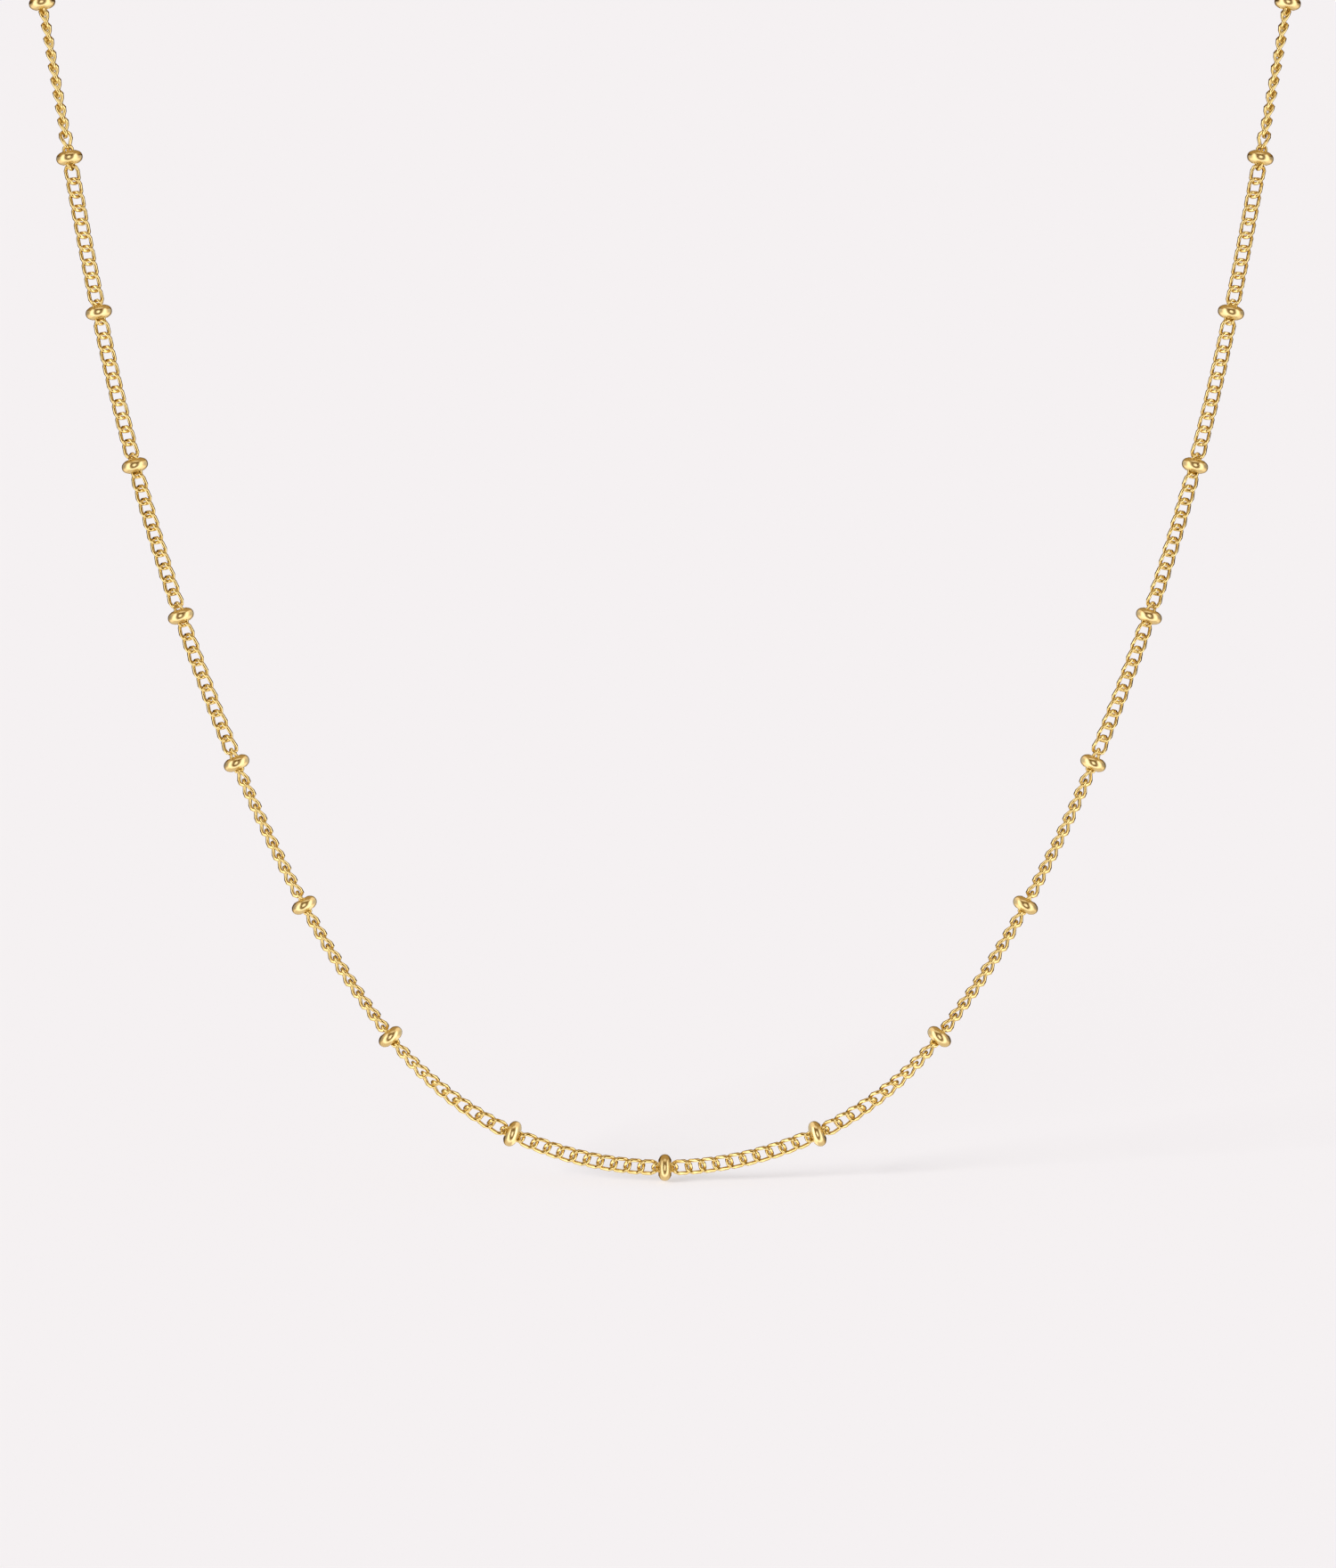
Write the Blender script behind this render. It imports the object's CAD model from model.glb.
"""Looks of a worn satellite necklace: a fine gold curb chain with saucer beads and a ring clasp.

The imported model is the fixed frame. Its plain chain core, its drilled beads and its fastening are
replaced by finer surfaces at the same places, worked out with numpy. All lengths in the tables
below are millimetres, and everything in the scene is metres, in the frame's own axes.
"""

from __future__ import annotations

import logging
import math
from dataclasses import dataclass, field
from enum import Enum

import bpy
import numpy as np
from mathutils import Matrix, Vector

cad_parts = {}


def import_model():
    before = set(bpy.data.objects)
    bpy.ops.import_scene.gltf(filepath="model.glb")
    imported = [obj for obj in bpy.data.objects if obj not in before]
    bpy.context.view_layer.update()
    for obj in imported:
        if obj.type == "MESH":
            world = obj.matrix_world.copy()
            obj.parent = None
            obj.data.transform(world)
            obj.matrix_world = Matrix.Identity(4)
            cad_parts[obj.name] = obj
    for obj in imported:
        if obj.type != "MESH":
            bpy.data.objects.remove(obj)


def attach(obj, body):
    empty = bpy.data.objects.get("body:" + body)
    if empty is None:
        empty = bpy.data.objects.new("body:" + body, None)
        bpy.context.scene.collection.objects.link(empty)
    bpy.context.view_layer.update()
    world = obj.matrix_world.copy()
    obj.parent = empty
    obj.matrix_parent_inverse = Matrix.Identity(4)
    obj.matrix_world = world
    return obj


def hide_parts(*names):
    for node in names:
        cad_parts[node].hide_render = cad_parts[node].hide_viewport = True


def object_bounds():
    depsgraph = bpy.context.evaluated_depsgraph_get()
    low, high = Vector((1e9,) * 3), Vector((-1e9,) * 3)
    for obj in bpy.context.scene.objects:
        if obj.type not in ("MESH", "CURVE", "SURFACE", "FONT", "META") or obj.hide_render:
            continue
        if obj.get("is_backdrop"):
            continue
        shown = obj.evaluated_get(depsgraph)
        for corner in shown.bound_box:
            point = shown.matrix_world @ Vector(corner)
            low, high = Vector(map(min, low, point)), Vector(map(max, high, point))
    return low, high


LOG = logging.getLogger("necklace")
MM = 0.001
BODY = "root"

# The photograph's frame, which the camera and its target are set by
PHOTO_WIDTH = 1500
PHOTO_HEIGHT = 1760
PIXEL_MM = 0.075
MIDDLE_BEAD_PIXEL = (746.5, 1310.5)


class Slot(Enum):
    """Material slots of the record."""

    CHAIN = "chain_gold"
    BEAD = "bead_gold"
    FASTENING = "fastening_gold"


@dataclass
class Surface:
    """Points and faces of a mesh before it becomes an object.

    Attributes:
        points: Array of shape (n, 3), in millimetres.
        faces: Array of shape (m, 4) of point numbers, counterclockwise seen from outside.
    """

    points: np.ndarray
    faces: np.ndarray

    def joined(self, other: Surface) -> Surface:
        """Returns both surfaces as one."""
        return Surface(
            np.vstack([self.points, other.points]),
            np.vstack([self.faces, other.faces + len(self.points)]),
        )

    def mirrored(self) -> Surface:
        """Returns the mirror image in the plane X = 0, with its faces still pointing outwards."""
        return Surface(self.points * [-1, 1, 1], self.faces[:, ::-1])

    def placed(self, frames: np.ndarray, places: np.ndarray) -> Surface:
        """Repeats the surface once for each frame.

        Args:
            frames: Array (n, 3, 3), whose rows are the directions of the local X, Y and Z.
            places: Array (n, 3) of where the local origin goes.

        Returns:
            One surface of all the copies: every point is the place plus its local
            coordinates times the rows of the frame.
        """
        points = places[:, None, :] + self.points[None] @ frames
        steps = np.arange(len(places))[:, None, None] * len(self.points)
        return Surface(points.reshape(-1, 3), (self.faces[None] + steps).reshape(-1, 4))


def grid_faces(rows: int, columns: int) -> np.ndarray:
    """Faces of a grid of points that closes on itself both ways, like a ring's skin.

    Args:
        rows: Number of rings of points.
        columns: Number of points in each ring.

    Returns:
        Array (rows * columns, 4) of point numbers, with point (i, j) numbered i * columns + j.
    """
    i, j = np.meshgrid(np.arange(rows), np.arange(columns), indexing="ij")
    ahead, beside = (i + 1) % rows, (j + 1) % columns
    corners = [i * columns + j, ahead * columns + j, ahead * columns + beside, i * columns + beside]
    return np.stack(corners, axis=-1).reshape(-1, 4)


def unit(vectors: np.ndarray) -> np.ndarray:
    """Returns the vectors at length one."""
    return vectors / np.linalg.norm(vectors, axis=-1, keepdims=True)


def closed_wire(line: np.ndarray, face_on: np.ndarray, wire: float, sides: int) -> Surface:
    """Round wire along a closed line.

    The skin is line(i) + r * (cos(a) * side + sin(a) * out), where out is the given direction made
    square to the line and side completes the right-handed set.

    Args:
        line: Array (n, 3), the centre line, whose last point joins the first.
        face_on: Array (n, 3), at each point the direction square to the ring's own plane.
        wire: Diameter of the wire.
        sides: Number of points round the wire.

    Returns:
        The wire's closed skin.
    """
    along = unit(np.roll(line, -1, axis=0) - np.roll(line, 1, axis=0))
    out = unit(face_on - np.sum(face_on * along, axis=1, keepdims=True) * along)
    side = np.cross(out, along)
    angle = np.arange(sides) * 2 * np.pi / sides
    round_wire = np.cos(angle)[None, :, None] * side[:, None] + np.sin(angle)[None, :, None] * out[:, None]
    points = line[:, None] + wire / 2 * round_wire
    return Surface(points.reshape(-1, 3), grid_faces(len(line), sides))


def revolved(section: np.ndarray, segments: int) -> Surface:
    """Surface of a closed section turned round the Z axis.

    Args:
        section: Array (n, 2) of radius and height, counterclockwise with the radius to the right.
        segments: Number of steps round the axis.

    Returns:
        The closed skin. Point (i, j) is section point j turned by i steps.
    """
    angle = np.arange(segments) * 2 * np.pi / segments
    radius, height = section[:, 0], section[:, 1]
    points = np.stack(
        [
            np.cos(angle)[:, None] * radius,
            np.sin(angle)[:, None] * radius,
            np.broadcast_to(height, (segments, len(section))),
        ],
        axis=-1,
    )
    return Surface(points.reshape(-1, 3), grid_faces(segments, len(section)))


def arc(centre: tuple[float, float], radius: float, start: float, end: float, points: int) -> np.ndarray:
    """Points on an arc in the plane, from one angle to another in degrees, both ends included."""
    angle = np.radians(np.linspace(start, end, points))
    return np.stack([centre[0] + radius * np.cos(angle), centre[1] + radius * np.sin(angle)], axis=1)


@dataclass
class Drape:
    """The line that the chain follows when it is worn.

    Each side is first laid flat, heading by heading, and the flat sheet that it lies on is then
    bent over the shoulders towards the nape. Bending a sheet keeps every length along the chain.
    """

    bead_pitch: float = 13.25
    side_beads: int = 16
    front_lean: float = 10.0
    back_lean: float = 70.0
    front_height: float = 100.0
    shoulder_radius: float = 30.0
    nape_offset: float = 0.55
    steps_per_pitch: int = 20
    # Bead pitches from the middle bead, and the heading there in degrees above level
    route: tuple[tuple[float, float], ...] = (
        (0, 0), (1, 25), (2, 52), (3, 61.5), (4, 67.5), (5, 71), (6, 75), (7, 78.5), (8, 80),
        (9, 80), (10, 82), (11, 90), (12, 103), (13, 120), (14, 140), (15, 160), (16, 176), (16.5, 180),
    )
    # Bead pitches from the middle bead, and how far the flat of the chain is turned about its own line
    turns: tuple[tuple[float, float], ...] = (
        (0, 0), (0.9, -12), (1.1, -18), (1.9, -60), (3.9, -60), (4.1, -24), (6, -16), (6.2, -4), (7, 0),
        (7.9, 12), (8.2, 75), (10, 90), (16.15, 90), (16.7, 30),
    )
    rows: dict[str, np.ndarray] = field(init=False, repr=False)

    def __post_init__(self) -> None:
        """Adds up the line in short steps: X, the height up the slope, Y and Z."""
        step = self.bead_pitch / self.steps_per_pitch
        count = int(round(self.route[-1][0] * self.steps_per_pitch))
        heading = np.radians(self.heading((np.arange(count) + 0.5) * step))
        rise = step * np.sin(heading)
        def summed(steps: np.ndarray) -> np.ndarray:
            """Running sum of the steps, which starts at nothing."""
            return np.concatenate([[0], np.cumsum(steps)])

        slope = summed(rise)
        lean = np.radians(self.lean(slope[:-1] + rise / 2))
        self.rows = {
            "s": np.arange(count + 1) * step,
            "x": summed(step * np.cos(heading)),
            "slope": slope,
            "y": summed(rise * np.sin(lean)),
            "z": summed(rise * np.cos(lean)),
        }

    @property
    def up_at_nape(self) -> np.ndarray:
        """Direction up the slope at the nape, which points away from the neck."""
        lean = math.radians(self.back_lean)
        return np.array([0, math.sin(lean), math.cos(lean)])

    @property
    def nape(self) -> np.ndarray:
        """Centre of the fastening, half a clasp's thickness off the neck."""
        return self.up_at_nape * self.nape_offset

    def heading(self, s: np.ndarray) -> np.ndarray:
        """Heading in degrees above level in the flat loop, at a distance from the middle bead."""
        pitches, headings = np.array(self.route).T
        return np.interp(np.abs(s) / self.bead_pitch, pitches, headings)

    def lean(self, slope: np.ndarray) -> np.ndarray:
        """Lean of the bent sheet at a height up its slope.

        Args:
            slope: Heights, measured up the sheet from the middle bead.

        Returns:
            Degrees back from upright: even at the front and at the back, and growing evenly round
            the bend between them.
        """
        bend = self.shoulder_radius * math.radians(self.back_lean - self.front_lean)
        heights = [self.front_height, self.front_height + bend]
        return np.interp(slope, heights, [self.front_lean, self.back_lean])

    def turn(self, s: np.ndarray) -> np.ndarray:
        """Turn of the chain's flat about its own line, in degrees, at a distance from the middle."""
        pitches, turns = np.array(self.turns).T
        return np.interp(np.abs(s) / self.bead_pitch, pitches, turns)

    def point(self, s: np.ndarray) -> np.ndarray:
        """Points of the left side of the chain's line.

        Args:
            s: Distances from the middle bead, up the left side. Past the end of the bent sheet the
                line runs on level.

        Returns:
            Array (n, 3).
        """
        rows = self.rows
        x = np.interp(s, rows["s"], rows["x"]) - np.maximum(0, s - rows["s"][-1])
        y = np.interp(s, rows["s"], rows["y"]) - rows["y"][-1]
        z = np.interp(s, rows["s"], rows["z"]) - rows["z"][-1]
        return np.stack([-x, y, z], axis=1) + self.nape

    def frames(self, s: np.ndarray, turned: bool = True) -> np.ndarray:
        """Directions of the left side of the chain.

        Args:
            s: Distances from the middle bead, up the left side.
            turned: Whether the chain's own turn is put on the sheet's directions.

        Returns:
            Array (n, 3, 3). Its rows are the way along the chain towards the middle bead, the way
            across its flat, and the way that its flat faces.
        """
        heading = np.radians(self.heading(s))
        lean = np.radians(self.lean(np.interp(s, self.rows["s"], self.rows["slope"])))
        down = -np.sin(heading)
        along = np.stack([np.cos(heading), down * np.sin(lean), down * np.cos(lean)], axis=1)
        out = np.stack([np.zeros_like(s), -np.cos(lean), np.sin(lean)], axis=1)
        across = np.cross(out, along)
        turn = np.radians(self.turn(s) if turned else np.zeros_like(s))[:, None]
        flat = np.cos(turn) * out + np.sin(turn) * across
        return np.stack([along, np.cross(flat, along), flat], axis=1)


@dataclass
class Link:
    """One link of the chain: a ring of round wire, drawn long and twisted.

    Its centre line is x = a * c(t) + slant * w, w = b * s(t), where c and s are cosine and sine raised
    to the power squareness with their sign kept, and w is turned about the X axis by the twist, which
    grows evenly from minus the end twist at the left end to plus it at the right end.
    """

    length: float
    width: float
    wire: float
    end_twist: float
    level_twist: float = 0.0
    squareness: float = 0.75
    slant: float = 0.0
    points: int = 12
    sides: int = 5

    def surface(self) -> Surface:
        """Bends the wire into the link.

        Returns:
            Skin of the link, its length along X and its flat facing Z.
        """
        t = (np.arange(self.points) + 0.5) * 2 * np.pi / self.points
        long_way = np.sign(np.cos(t)) * np.abs(np.cos(t)) ** self.squareness
        cross_way = np.sign(np.sin(t)) * np.abs(np.sin(t)) ** self.squareness
        x = (self.length - self.wire) / 2 * long_way
        w = (self.width - self.wire) / 2 * cross_way
        twist = np.radians(self.level_twist + self.end_twist * long_way)
        line = np.stack([x + self.slant * w, w * np.cos(twist), w * np.sin(twist)], axis=1)
        face_on = np.stack([np.zeros_like(t), -np.sin(twist), np.cos(twist)], axis=1)
        return closed_wire(line, face_on, self.wire, self.sides)


@dataclass
class Chain:
    """The curb chain, from its middle bead to the soldered ring at each end.

    Ten links hang between the longer links that run through two neighbouring beads. The right side
    is the mirror image of the left, so the link in the middle bead has no twist of its own.
    """

    drape: Drape
    wire: float = 0.33
    link_length: float = 1.90
    link_width: float = 1.42
    link_slant: float = 0.12
    link_pitch: float = 1.155
    end_twist: float = -40.0
    bead_wire: float = 0.28
    bead_link_width: float = 1.06
    bead_link_squareness: float = 0.55
    links_between: int = 10
    tail_links: int = 8
    end_ring_radius: float = 0.8
    end_ring_wire: float = 0.5
    end_ring_x: float = 5.385
    loose_air: float = 0.06
    # Points along the line of the wire, and round the wire
    bead_link_mesh: tuple[int, int] = (16, 6)
    end_ring_mesh: tuple[int, int] = (40, 16)
    # Beads from the middle one, and how far each has slid down from the middle of its own link
    slides: tuple[tuple[float, float], ...] = (
        (0, 0), (1, 0), (2, 0.1), (3, 0.25), (4, 0.25), (5, 0.15), (6, 0),
    )

    def link(self) -> Surface:
        """One link of the run between two beads."""
        return Link(
            self.link_length, self.link_width, self.wire, self.end_twist, slant=self.link_slant
        ).surface()

    def bead_link(self, middle: bool) -> Surface:
        """The longer and narrower link inside a bead.

        It reaches the first link of each run: half its length and half of that link's add up to
        the distance between them, both wires and the air.

        Args:
            middle: Whether it is the middle bead's, which is turned whole and not twisted.

        Returns:
            Skin of the link.
        """
        end_twist, level_twist = (0.0, -self.end_twist) if middle else (self.end_twist, 0.0)
        length = 2 * (self.first_place + self.wire + self.bead_wire + self.loose_air) - self.link_length
        points, sides = self.bead_link_mesh
        return Link(
            length, self.bead_link_width, self.bead_wire, end_twist, level_twist,
            self.bead_link_squareness, points=points, sides=sides,
        ).surface()

    @property
    def first_place(self) -> float:
        """Distance from the middle of a bead's link to the middle of the first link beside it."""
        return (self.drape.bead_pitch - (self.links_between - 1) * self.link_pitch) / 2

    def bead_link_places(self) -> np.ndarray:
        """Distances from the middle bead of the bead links, from the middle one up the left side."""
        count = np.arange(self.drape.side_beads + 1)
        beads, slides = np.array(self.slides).T
        return count * self.drape.bead_pitch + np.interp(count, beads, slides)

    def run_places(self) -> np.ndarray:
        """Spaces the common links out.

        Returns:
            Distances from the middle bead of every link of the left side's runs and tail.
        """
        held = self.bead_link_places()
        starts, ends = held[:-1] + self.first_place, held[1:] - self.first_place
        runs = np.linspace(starts, ends, self.links_between, axis=1)
        last_link = (self.link_length / 2 + self.end_ring_radius
                     - self.wire - self.end_ring_wire / 2 - self.loose_air)
        tail = np.linspace(held[-1] + self.first_place, self.ring_place() - last_link, self.tail_links)
        return np.concatenate([runs.ravel(), tail])

    def ring_place(self) -> float:
        """Distance of the end ring's centre from the middle bead, along the chain."""
        rows = self.drape.rows
        return float(rows["s"][-1] + rows["x"][-1] - self.end_ring_x)

    def placed(self, one: Surface, places: np.ndarray) -> Surface:
        """Copies of a link at distances up the left side."""
        return one.placed(self.drape.frames(places), self.drape.point(places))

    def links(self) -> Surface:
        """All the links between the beads, on both sides."""
        left = self.placed(self.link(), self.run_places())
        return left.joined(left.mirrored())

    def bead_links(self) -> Surface:
        """All the longer links inside the beads, on both sides."""
        left = self.placed(self.bead_link(middle=False), self.bead_link_places()[1:])
        middle = self.placed(self.bead_link(middle=True), np.zeros(1))
        return middle.joined(left).joined(left.mirrored())

    def end_rings(self) -> Surface:
        """The soldered ring at each end of the chain."""
        ring = wire_ring(self.end_ring_radius, self.end_ring_wire, *self.end_ring_mesh)
        left = at_nape(ring, -self.end_ring_x, self.drape)
        return left.joined(left.mirrored())

    def build(self, finish: GoldPlate) -> list[bpy.types.Object]:
        """Makes the chain's three pieces, which stand for the node chain.

        Args:
            finish: The gold of all three.

        Returns:
            The common links, the links in the beads and the end rings.
        """
        pieces = {
            "chain_links": self.links(),
            "chain_bead_links": self.bead_links(),
            "chain_end_rings": self.end_rings(),
        }
        return [make_piece(name, surface, finish, ["chain"], Slot.CHAIN) for name, surface in pieces.items()]


def wire_ring(radius: float, wire: float, points: int, sides: int) -> Surface:
    """Ring of round wire about the Z axis.

    Args:
        radius: Mean radius of the ring.
        wire: Diameter of the wire.
        points: Number of points along the line of the wire.
        sides: Number of points round the wire.

    Returns:
        The ring's closed skin.
    """
    t = np.arange(points) * 2 * np.pi / points
    line = np.stack([radius * np.cos(t), radius * np.sin(t), np.zeros_like(t)], axis=1)
    face_on = np.broadcast_to([0.0, 0.0, 1.0], line.shape)
    return closed_wire(line, face_on, wire, sides)


def at_nape(surface: Surface, x: float, drape: Drape) -> Surface:
    """Moves a surface into the fastening.

    Args:
        surface: A surface with X along the chain, Y down the nape and Z away from it.
        x: Where its origin goes along the chain, from the middle of the fastening.
        drape: The line of the chain, which holds the place and lean of the nape.

    Returns:
        The surface in the frame's own axes.
    """
    away = drape.up_at_nape
    frame = np.array([[1.0, 0.0, 0.0], np.cross(away, [1.0, 0.0, 0.0]), away])
    return surface.placed(frame[None], (drape.nape + [x, 0.0, 0.0])[None])


@dataclass
class Bead:
    """A saucer bead, drilled through.

    Its half section is two flat arcs for the faces, a small arc round the rim that runs smoothly
    into both, and the straight wall of the bore with its edges just broken.
    """

    drape: Drape
    diameter: float = 2.25
    thickness: float = 1.35
    rim_radius: float = 0.5
    bore: float = 1.2
    edge: float = 0.04
    segments: int = 56
    # Points along each part of the half section
    face_points: int = 9
    rim_points: int = 17
    wall_points: int = 5

    def section(self) -> np.ndarray:
        """Draws the half section.

        Returns:
            Array (n, 2) of radius and height, counterclockwise and closed.
        """
        rim_x = self.diameter / 2 - self.rim_radius
        half = self.thickness / 2
        face_radius = (rim_x**2 + half**2 - self.rim_radius**2) / (2 * (half - self.rim_radius))
        drop = face_radius - half
        meet = math.degrees(math.atan2(drop, rim_x))
        bore_radius = self.bore / 2
        start = math.degrees(math.acos((bore_radius + self.edge) / face_radius))
        upper_face = arc((0, -drop), face_radius, meet, start, self.face_points)
        rim = arc((rim_x, 0), self.rim_radius, -meet, meet, self.rim_points)[1:-1]
        lower_face = (upper_face * [1, -1])[::-1]
        wall_top = upper_face[-1, 1] - self.edge
        heights = np.linspace(wall_top, -wall_top, self.wall_points)
        wall = np.stack([np.full_like(heights, bore_radius), heights], axis=1)
        return np.vstack([lower_face, rim, upper_face, wall])

    def build(self, finish: GoldPlate) -> list[bpy.types.Object]:
        """Makes the beads, one piece for each node.

        Args:
            finish: The gold of the beads.

        Returns:
            The beads from the left end of the chain to the right.
        """
        turned = revolved(self.section(), self.segments)
        # The section turns about Z, and a bead's bore runs along the chain, which is the frames' X
        bead = Surface(turned.points[:, [2, 0, 1]], turned.faces)
        side = self.drape.side_beads
        places = np.arange(side, -1, -1) * self.drape.bead_pitch
        frames, points = self.drape.frames(places, turned=False), self.drape.point(places)
        left = [bead.placed(frames[i : i + 1], points[i : i + 1]) for i in range(side + 1)]
        beads = left + [surface.mirrored() for surface in reversed(left[:-1])]
        return [
            make_piece(f"bead_{i:02d}_polished", surface, finish, [f"bead_{i:02d}"], Slot.BEAD)
            for i, surface in enumerate(beads, start=1)
        ]


@dataclass
class Fastening:
    """The ring clasp and the two jump rings that join it to the ends of the chain."""

    drape: Drape
    jump_radius: float = 1.35
    jump_wire: float = 0.6
    clasp_radius: float = 2.2
    clasp_wire: float = 1.1
    eye_radius: float = 0.95
    eye_wire: float = 0.7
    nub: float = 0.9
    nub_angle: float = 60.0
    clasp_x: float = 1.325
    clasp_ring_x: float = -3.905
    catch_ring_x: float = 3.905
    # Points along the line of the wire, and round the wire
    jump_mesh: tuple[int, int] = (56, 18)
    clasp_mesh: tuple[int, int] = (88, 28)
    eye_mesh: tuple[int, int] = (48, 20)
    nub_segments: int = 24

    def jump_ring(self, x: float) -> Surface:
        """A jump ring square to the clasp.

        Args:
            x: Where its centre goes along the chain, from the middle of the fastening.

        Returns:
            Skin of the ring, in its place.
        """
        flat = wire_ring(self.jump_radius, self.jump_wire, *self.jump_mesh)
        # Its plane is turned from X and Y to X and Z
        standing = Surface(flat.points[:, [0, 2, 1]] * [1, -1, 1], flat.faces)
        return at_nape(standing, x, self.drape)

    def clasp(self) -> Surface:
        """The clasp's ring, its eye and the nub of its slide.

        Returns:
            Skins of all three, in their places.
        """
        ring = wire_ring(self.clasp_radius, self.clasp_wire, *self.clasp_mesh)
        reach = self.clasp_radius + self.clasp_wire / 2
        eye = wire_ring(self.eye_radius, self.eye_wire, *self.eye_mesh)
        eye.points = eye.points - [reach + self.eye_radius, 0, 0]
        ball = revolved(ball_section(self.nub / 2), self.nub_segments)
        angle = math.radians(self.nub_angle)
        ball.points = ball.points + [reach * math.cos(angle), reach * math.sin(angle), 0]
        return at_nape(ring.joined(eye).joined(ball), self.clasp_x, self.drape)

    def build(self, finish: GoldPlate) -> list[bpy.types.Object]:
        """Makes the clasp and its rings, each in place of its node.

        Args:
            finish: The gold of all three.

        Returns:
            The clasp, the ring in its eye and the ring that it closes on.
        """
        surfaces = {
            "clasp": self.clasp(),
            "clasp_ring": self.jump_ring(self.clasp_ring_x),
            "catch_ring": self.jump_ring(self.catch_ring_x),
        }
        return [
            make_piece(f"{node}_polished", surface, finish, [node], Slot.FASTENING)
            for node, surface in surfaces.items()
        ]


def ball_section(radius: float, points: int = 15, pole: float = 89.5, opening: float = 1e-4) -> np.ndarray:
    """Half section of a ball, open by a hair at the poles so that its skin is a closed grid.

    Args:
        radius: Radius of the ball.
        points: Number of points on the outer arc.
        pole: Degrees from the equator to either end of that arc.
        opening: Radius of the hair.

    Returns:
        Array (n, 2) of radius and height, counterclockwise.
    """
    outer = arc((0, 0), radius, -pole, pole, points)
    return np.vstack([outer, [[opening, radius], [opening, -radius]]])


def linear(hex_colour: str) -> tuple[float, float, float, float]:
    """Turns an sRGB colour into Blender's linear values.

    Args:
        hex_colour: The colour, such as #FFE0A0.

    Returns:
        Red, green, blue and an alpha of one.
    """
    parts = [int(hex_colour[i : i + 2], 16) / 255 for i in (1, 3, 5)]
    values = [c / 12.92 if c <= 0.04045 else ((c + 0.055) / 1.055) ** 2.4 for c in parts]
    return (*values, 1.0)


def add_node(tree: bpy.types.NodeTree, kind: str, settings: dict | None = None,
             links: dict | None = None) -> bpy.types.Node:
    """Adds a node with its settings and its incoming links.

    Args:
        tree: The node tree that it goes in.
        kind: The node's type name.
        settings: Values by property name, or by socket name or number where there is no such property.
        links: Outgoing sockets of other nodes, by this node's socket name or number.

    Returns:
        The new node.
    """
    node = tree.nodes.new(kind)
    for name, value in (settings or {}).items():
        if isinstance(name, str) and hasattr(node, name):
            setattr(node, name, value)
        else:
            node.inputs[name].default_value = value
    for name, socket in (links or {}).items():
        tree.links.new(socket, node.inputs[name])
    return node


@dataclass(frozen=True)
class GoldPlate:
    """Pale yellow gold plate over brass, polished in a tumbler.

    To the eye it is a warm mirror. The plate's tone drifts a little from place to place, and the
    tumbling leaves soft, shallow waves that break up the reflections.
    """

    name: str
    pale: str
    deep: str
    roughness: tuple[float, float]
    tone_patch: float
    wave: float
    wave_depth: float

    def material(self) -> bpy.types.Material:
        """Builds the material, whose patterns read Object coordinates, in metres.

        Returns:
            The material: a tone that drifts between two golds and dulls a little with it, under
            shallow waves. Inputs 6 and 7 and output 2 of the mix are its colours.
        """
        made = bpy.data.materials.new(self.name)
        made.use_nodes = True
        tree = made.node_tree
        tree.nodes.clear()
        place = add_node(tree, "ShaderNodeTexCoord").outputs["Object"]
        tone = add_node(
            tree, "ShaderNodeTexNoise",
            {"Scale": 1 / (self.tone_patch * MM), "Detail": 3.0}, {"Vector": place},
        )
        colour = add_node(
            tree, "ShaderNodeMix",
            {"data_type": "RGBA", 6: linear(self.pale), 7: linear(self.deep)}, {0: tone.outputs["Fac"]},
        )
        shine = add_node(
            tree, "ShaderNodeMapRange",
            {"To Min": self.roughness[0], "To Max": self.roughness[1]}, {"Value": tone.outputs["Fac"]},
        )
        waves = add_node(
            tree, "ShaderNodeTexNoise",
            {"Scale": 1 / (self.wave * MM), "Detail": 2.0}, {"Vector": place},
        )
        bump = add_node(
            tree, "ShaderNodeBump",
            {"Strength": 1.0, "Distance": self.wave_depth * MM}, {"Height": waves.outputs["Fac"]},
        )
        skin = add_node(
            tree, "ShaderNodeBsdfPrincipled", {"Metallic": 1.0},
            {"Base Color": colour.outputs[2], "Roughness": shine.outputs[0], "Normal": bump.outputs[0]},
        )
        add_node(tree, "ShaderNodeOutputMaterial", links={"Surface": skin.outputs[0]})
        return made


WIRE_GOLD = GoldPlate(
    name="polished_gold_plate_on_wire", pale="#FBE8AC", deep="#F2D68C",
    roughness=(0.05, 0.10), tone_patch=2.5, wave=0.35, wave_depth=0.003,
)
BEAD_GOLD = GoldPlate(
    name="tumbled_gold_plate_on_beads", pale="#F6E2B0", deep="#E6CE92",
    roughness=(0.20, 0.28), tone_patch=1.6, wave=0.5, wave_depth=0.005,
)
CLASP_GOLD = GoldPlate(
    name="polished_gold_plate_on_clasp", pale="#FBE7AE", deep="#F2D590",
    roughness=(0.08, 0.16), tone_patch=2.0, wave=0.6, wave_depth=0.004,
)

# Materials made so far, by name
_MATERIALS: dict[str, bpy.types.Material] = {}


def material_of(finish: GoldPlate) -> bpy.types.Material:
    """Returns a finish's material, made once."""
    if finish.name not in _MATERIALS:
        _MATERIALS[finish.name] = finish.material()
    return _MATERIALS[finish.name]


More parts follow.
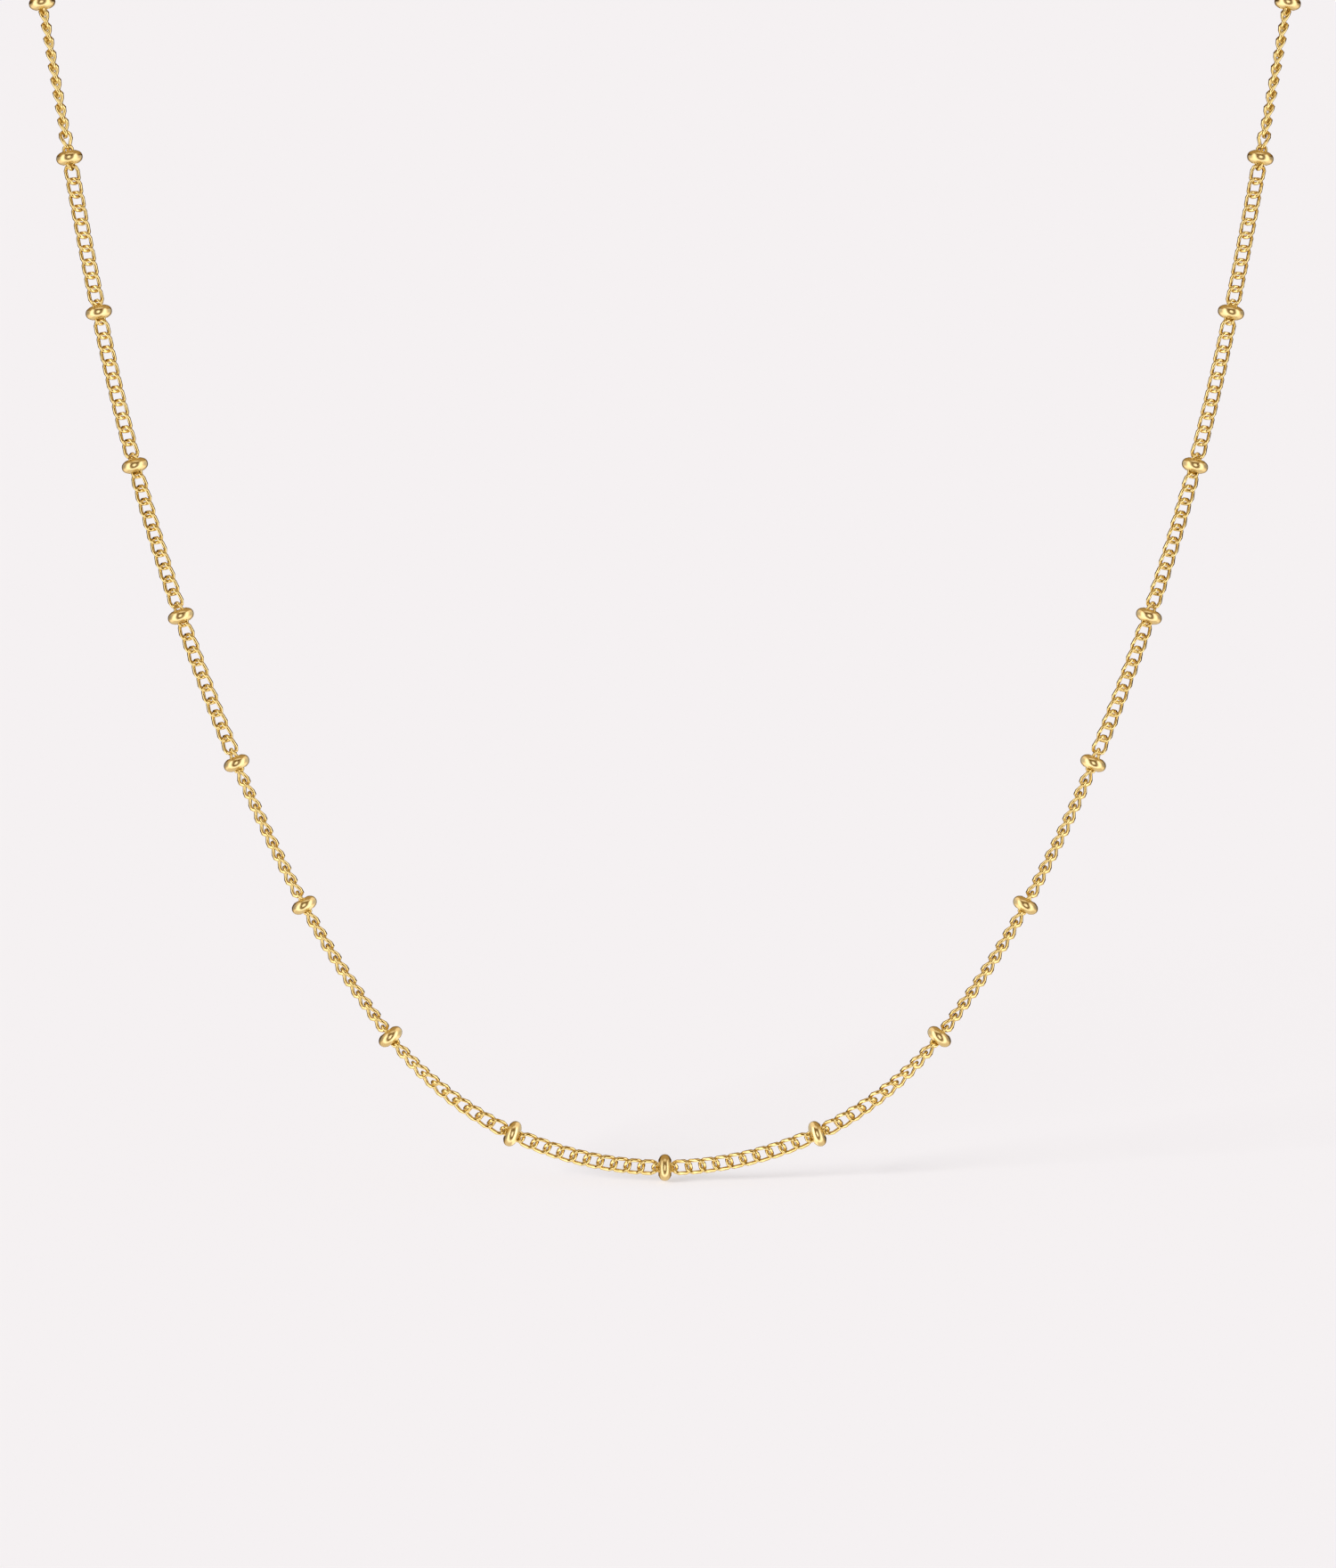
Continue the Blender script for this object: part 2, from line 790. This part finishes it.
def make_piece(name: str, surface: Surface, finish: GoldPlate, nodes: list[str],
               slot: Slot) -> bpy.types.Object:
    """Turns a surface into a smooth shaded piece that stands for CAD nodes.

    Args:
        name: Name of the piece.
        surface: Its points in millimetres, and its faces.
        finish: What it is made of.
        nodes: The CAD nodes that it replaces.
        slot: The record's slot that it takes its finish from.

    Returns:
        The piece, riding on the body.
    """
    mesh = bpy.data.meshes.new(name)
    mesh.from_pydata((surface.points * MM).tolist(), [], surface.faces.tolist())
    mesh.polygons.foreach_set("use_smooth", np.ones(len(mesh.polygons), dtype=bool))
    mesh.materials.append(material_of(finish))
    mesh.update()
    piece = bpy.data.objects.new(name, mesh)
    bpy.context.scene.collection.objects.link(piece)
    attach(piece, BODY)
    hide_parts(*nodes)
    LOG.info("%s: %d faces, stands for %s", name, len(mesh.polygons), ", ".join(nodes))
    return piece


def squared_sine(degrees: float) -> float:
    """Square of the sine of an angle in degrees."""
    return math.sin(math.radians(degrees)) ** 2


@dataclass
class DirectionMasks:
    """Numbers between nothing and one over all the directions of a background, worked out by nodes.

    Attributes:
        tree: The node tree that they go in.
        way: The socket that holds the direction.
    """

    tree: bpy.types.NodeTree
    way: bpy.types.NodeSocket

    def part(self, axis: Vector) -> bpy.types.NodeSocket:
        """How far the direction points along an axis."""
        dot = add_node(
            self.tree, "ShaderNodeVectorMath", {"operation": "DOT_PRODUCT", 1: axis}, {0: self.way}
        )
        return dot.outputs["Value"]

    def fade(self, value: bpy.types.NodeSocket, span: tuple[float, float],
             result: tuple[float, float]) -> bpy.types.NodeSocket:
        """Goes softly from one end of the result to the other while the value crosses the span.

        Args:
            value: What it depends on.
            span: Values where it starts and where it ends.
            result: What it gives at the start and past it, and at the end and past it.

        Returns:
            The socket that holds it.
        """
        return add_node(
            self.tree, "ShaderNodeMapRange",
            {"interpolation_type": "SMOOTHSTEP", "From Min": span[0], "From Max": span[1],
             "To Min": result[0], "To Max": result[1]},
            {"Value": value},
        ).outputs[0]

    def merged(self, operation: str, *values: bpy.types.NodeSocket) -> bpy.types.NodeSocket:
        """One operation on the first two values, then on its result and the next one, to the last.

        Args:
            operation: Name of the operation, as a math node has it.
            values: The values, in order.

        Returns:
            The socket that holds the last result.
        """
        result, *others = values
        for value in others:
            step = add_node(self.tree, "ShaderNodeMath", {"operation": operation}, {0: result, 1: value})
            result = step.outputs[0]
        return result

    def rest(self, value: bpy.types.NodeSocket) -> bpy.types.NodeSocket:
        """What is left of one when the value is taken off."""
        return add_node(self.tree, "ShaderNodeMath", {"operation": "SUBTRACT", 0: 1.0}, {1: value}).outputs[0]


@dataclass
class Studio:
    """Camera, pale floor and soft light.

    The floor and the empty distance have one colour. What the metal mirrors is a light tent of its
    own: pale in front, with the tall dark shape of the camera round its lit lens, and dark at the
    sides and behind, but not below. Each side's beads also have two panels to themselves, edge on
    to the camera: a bright one between the strands and a dimmer one outside.
    """

    drape: Drape
    lens: float = 180.0
    sensor: float = 36.0
    floor_size: float = 12.0
    floor_gap: float = 0.1
    clip: tuple[float, float] = (0.01, 100.0)
    paper: str = "#F5F1F2"
    # Share of the floor's brightness that comes through it from behind
    backlight: float = 0.55
    # Share of the floor's light from in front that is the key's
    key_share: float = 0.47
    key_direction: tuple[float, float, float] = (-2.5, -1.6, 1.0)
    key_angle: float = 26.0
    panel_depth: tuple[float, float] = (-55.0, 12.0)
    panel_height: float = 130.0
    inner_radiance: float = 0.58
    outer_radiance: float = 0.34
    outer_x: float = 95.0
    # What the metal mirrors, from the darkest part of the tent to its cloth
    gloom: str = "#2A1706"
    half_lit: str = "#866C3C"
    cloth: str = "#F4F2EE"
    brightness: float = 1.82
    # Degrees off straight ahead: where the lens is lit full and where it ends, and where the dark
    # shape of the camera is full and where it ends
    lens_edge: tuple[float, float] = (12.0, 18.0)
    camera_edge: tuple[float, float] = (33.0, 46.0)
    # What heights are multiplied by before they are measured: either way on the lens, and up and
    # down on the camera, which is taller
    lens_shrink: float = 0.6
    camera_shrink: tuple[float, float] = (0.35, 0.75)
    # Brightness of the camera's dark shape
    camera_light: float = 0.2

    @property
    def facing(self) -> Vector:
        """Direction from the front of the necklace to the camera, square to its sheet."""
        lean = math.radians(self.drape.front_lean)
        return Vector((0, -math.cos(lean), math.sin(lean)))

    @property
    def rising(self) -> Vector:
        """Direction up the sheet of the front, which is up in the picture."""
        lean = math.radians(self.drape.front_lean)
        return Vector((0, math.sin(lean), math.cos(lean)))

    @property
    def target(self) -> Vector:
        """Point of the front sheet in the middle of the picture, in metres."""
        middle = Vector(self.drape.point(np.zeros(1))[0])
        across = (PHOTO_WIDTH / 2 - MIDDLE_BEAD_PIXEL[0]) * PIXEL_MM
        rise = (MIDDLE_BEAD_PIXEL[1] - PHOTO_HEIGHT / 2) * PIXEL_MM
        return (middle + Vector((across, 0, 0)) + self.rising * rise) * MM

    def camera(self) -> None:
        """Looks square at the flat front, at the photograph's scale and framing."""
        data = bpy.data.cameras.new("camera")
        data.lens, data.sensor_width = self.lens, self.sensor
        data.sensor_fit = "AUTO"
        data.clip_start, data.clip_end = self.clip
        distance = PHOTO_HEIGHT * PIXEL_MM * MM * self.lens / self.sensor
        camera = bpy.data.objects.new("camera", data)
        camera.location = self.target + self.facing * distance
        camera.rotation_euler = (-self.facing).to_track_quat("-Z", "Y").to_euler()
        bpy.context.scene.collection.objects.link(camera)
        bpy.context.scene.camera = camera

    def floor(self, lowest: float) -> None:
        """Lays a pale floor just under the lowest bead, which the metal doesn't mirror.

        Part of its brightness comes through the paper from behind, so its shadows are faint.

        Args:
            lowest: Height of the necklace's lowest point, in metres.
        """
        half = self.floor_size / 2
        z = lowest - self.floor_gap * MM
        mesh = bpy.data.meshes.new("floor")
        corners = [(-half, -half, z), (half, -half, z), (half, half, z), (-half, half, z)]
        mesh.from_pydata(corners, [], [(0, 1, 2, 3)])
        paper = bpy.data.materials.new("matt_paper")
        paper.use_nodes = True
        skin = paper.node_tree.nodes["Principled BSDF"]
        red, green, blue, _ = linear(self.paper)
        lit = 1 - self.backlight
        skin.inputs["Base Color"].default_value = (red * lit, green * lit, blue * lit, 1.0)
        skin.inputs["Emission Color"].default_value = linear(self.paper)
        skin.inputs["Emission Strength"].default_value = self.backlight
        skin.inputs["Roughness"].default_value = 1.0
        skin.inputs["Specular IOR Level"].default_value = 0.0
        mesh.materials.append(paper)
        floor = bpy.data.objects.new("floor", mesh)
        floor.visible_glossy = False
        bpy.context.scene.collection.objects.link(floor)
        floor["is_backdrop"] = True

    def key(self) -> None:
        """A soft low light from the left, which throws the chain's shadow along the floor."""
        direction = Vector(self.key_direction).normalized()
        data = bpy.data.lights.new("key", "SUN")
        data.angle = math.radians(self.key_angle)
        # A sun of strength pi adds as much to a square surface as a sky of strength one
        data.energy = self.key_share * math.pi / direction.z
        light = bpy.data.objects.new("key", data)
        light.rotation_euler = (-direction).to_track_quat("-Z", "Y").to_euler()
        light.visible_glossy = False
        bpy.context.scene.collection.objects.link(light)

    def panels(self, beads: list[bpy.types.Object]) -> None:
        """Soft panels square to X, mirrored only by the beads of their own side.

        Args:
            beads: The beads from the left end of the chain to the right.
        """
        middle = len(beads) // 2
        for side, way, own in (("left", -1, beads[: middle + 1]), ("right", 1, beads[middle:])):
            mirrors = bpy.data.collections.new(f"{side}_beads")
            for bead in own:
                mirrors.objects.link(bead)
            self.panel(f"{side}_inner_panel", 0.0, way, self.inner_radiance, mirrors)
            self.panel(f"{side}_outer_panel", way * self.outer_x, -way, self.outer_radiance, mirrors)

    def panel(self, name: str, x: float, way: int, radiance: float, mirrors: bpy.types.Collection) -> None:
        """Hangs one panel.

        Args:
            name: Name of the panel.
            x: Where it hangs, in millimetres.
            way: Whether it shines to the right, 1, or to the left, -1.
            radiance: How bright its face is.
            mirrors: The pieces that mirror it.
        """
        near, far = self.panel_depth
        depth, height = (far - near) * MM, self.panel_height * MM
        data = bpy.data.lights.new(name, "AREA")
        data.shape, data.size, data.size_y = "RECTANGLE", depth, height
        # A flat light of this energy has the stated radiance
        data.energy = radiance * math.pi * depth * height
        light = bpy.data.objects.new(name, data)
        shine = Vector((way, 0, 0))
        turn = Matrix((shine.cross(self.rising) * -1, self.rising, -shine)).transposed()
        place = Vector((x * MM, self.target.y, self.target.z)) + self.facing * (near + far) / 2 * MM
        light.matrix_world = Matrix.Translation(place) @ turn.to_4x4()
        light.visible_camera = light.visible_diffuse = False
        light.light_linking.receiver_collection = mirrors
        bpy.context.scene.collection.objects.link(light)

    def tent_light(self, masks: DirectionMasks) -> bpy.types.NodeSocket:
        """How bright the tent is in each direction, from nothing to one.

        It is the product of two masks. One holds the camera's tall dark shape in front, with the
        lit lens in its middle. The other falls off into the dark from the sides to the back, though
        only half of the way overhead and a third of the way below.

        Args:
            masks: Makes the nodes, and holds the direction.

        Returns:
            The socket that holds the brightness.
        """
        front, above = masks.part(self.facing), masks.part(self.rising)
        beside = masks.part(Vector((1, 0, 0)))

        def from_ahead(up: float, down: float) -> bpy.types.NodeSocket:
            """Squared sine of the angle off straight ahead, with heights shrunk.

            Args:
                up: What heights above straight ahead are multiplied by.
                down: What heights below it are multiplied by.

            Returns:
                The socket that holds it.
            """
            height = masks.merged("MAXIMUM", masks.part(self.rising * up), masks.part(self.rising * -down))
            squares = [masks.merged("MULTIPLY", value, value) for value in (beside, height)]
            return masks.merged("ADD", *squares)

        lens_full, lens_end = (squared_sine(angle) for angle in self.lens_edge)
        camera_span = tuple(squared_sine(angle) for angle in self.camera_edge)
        lens = masks.fade(from_ahead(self.lens_shrink, self.lens_shrink), (lens_end, lens_full), (0.0, 1.0))
        round_camera = masks.merged(
            "MAXIMUM",
            masks.fade(from_ahead(*self.camera_shrink), camera_span, (self.camera_light, 1.0)),
            masks.fade(above, (0.6, 0.95), (0.0, 0.8)),
            masks.fade(front, (0.2, -0.1), (0.0, 1.0)),
            masks.merged("MINIMUM", lens, masks.fade(front, (0.0, 0.2), (0.0, 1.0))),
        )
        dark_behind = masks.merged(
            "MULTIPLY",
            masks.fade(front, (0.38, -0.1), (0.0, 0.96)),
            masks.fade(above, (-0.5, -0.05), (0.35, 1.0)),
            masks.fade(above, (0.2, 0.7), (1.0, 0.5)),
        )
        return masks.merged("MULTIPLY", round_camera, masks.rest(dark_behind))

    def dome(self) -> None:
        """The tent that the metal mirrors, and the even light of the floor and the distance."""
        world = bpy.data.worlds.new("tent")
        world.use_nodes = True
        tree = world.node_tree
        tree.nodes.clear()
        way = add_node(tree, "ShaderNodeTexCoord").outputs["Generated"]
        light = self.tent_light(DirectionMasks(tree, way))
        shade = add_node(tree, "ShaderNodeValToRGB", links={0: light})
        stops = shade.color_ramp.elements
        stops[0].color, stops[1].color = linear(self.gloom), linear(self.cloth)
        stops.new(0.5).color = linear(self.half_lit)
        mirrored = add_node(
            tree, "ShaderNodeBackground", {"Strength": self.brightness}, {"Color": shade.outputs["Color"]}
        )
        paper = add_node(tree, "ShaderNodeBackground", {"Color": linear(self.paper), "Strength": 1.0})
        even = add_node(
            tree, "ShaderNodeBackground", {"Color": linear("#FFFFFF"), "Strength": 1.0 - self.key_share}
        )
        path = add_node(tree, "ShaderNodeLightPath")
        soft = add_node(
            tree, "ShaderNodeMixShader",
            links={0: path.outputs["Is Glossy Ray"], 1: even.outputs[0], 2: mirrored.outputs[0]},
        )
        seen = add_node(
            tree, "ShaderNodeMixShader",
            links={0: path.outputs["Is Camera Ray"], 1: soft.outputs[0], 2: paper.outputs[0]},
        )
        add_node(tree, "ShaderNodeOutputWorld", links={"Surface": seen.outputs[0]})
        bpy.context.scene.world = world

    def build(self, lowest: float, beads: list[bpy.types.Object]) -> None:
        """Sets up the camera, the floor and the light.

        Args:
            lowest: Height of the necklace's lowest point, in metres.
            beads: The beads from the left end of the chain to the right.
        """
        view = bpy.context.scene.view_settings
        view.view_transform, view.look = "Standard", "None"
        self.camera()
        self.floor(lowest)
        self.key()
        self.panels(beads)
        self.dome()
        LOG.info("camera, floor and light are in place")


def main() -> None:
    """Loads the frame, dresses the necklace, lights it and notes its size."""
    logging.basicConfig(level=logging.INFO, format="%(name)s: %(message)s")
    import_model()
    cad_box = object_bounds()
    drape = Drape()
    Chain(drape).build(WIRE_GOLD)
    beads = Bead(drape).build(BEAD_GOLD)
    Fastening(drape).build(CLASP_GOLD)
    Studio(drape).build(lowest=cad_box[0].z, beads=beads)


if __name__ == "__main__":
    main()
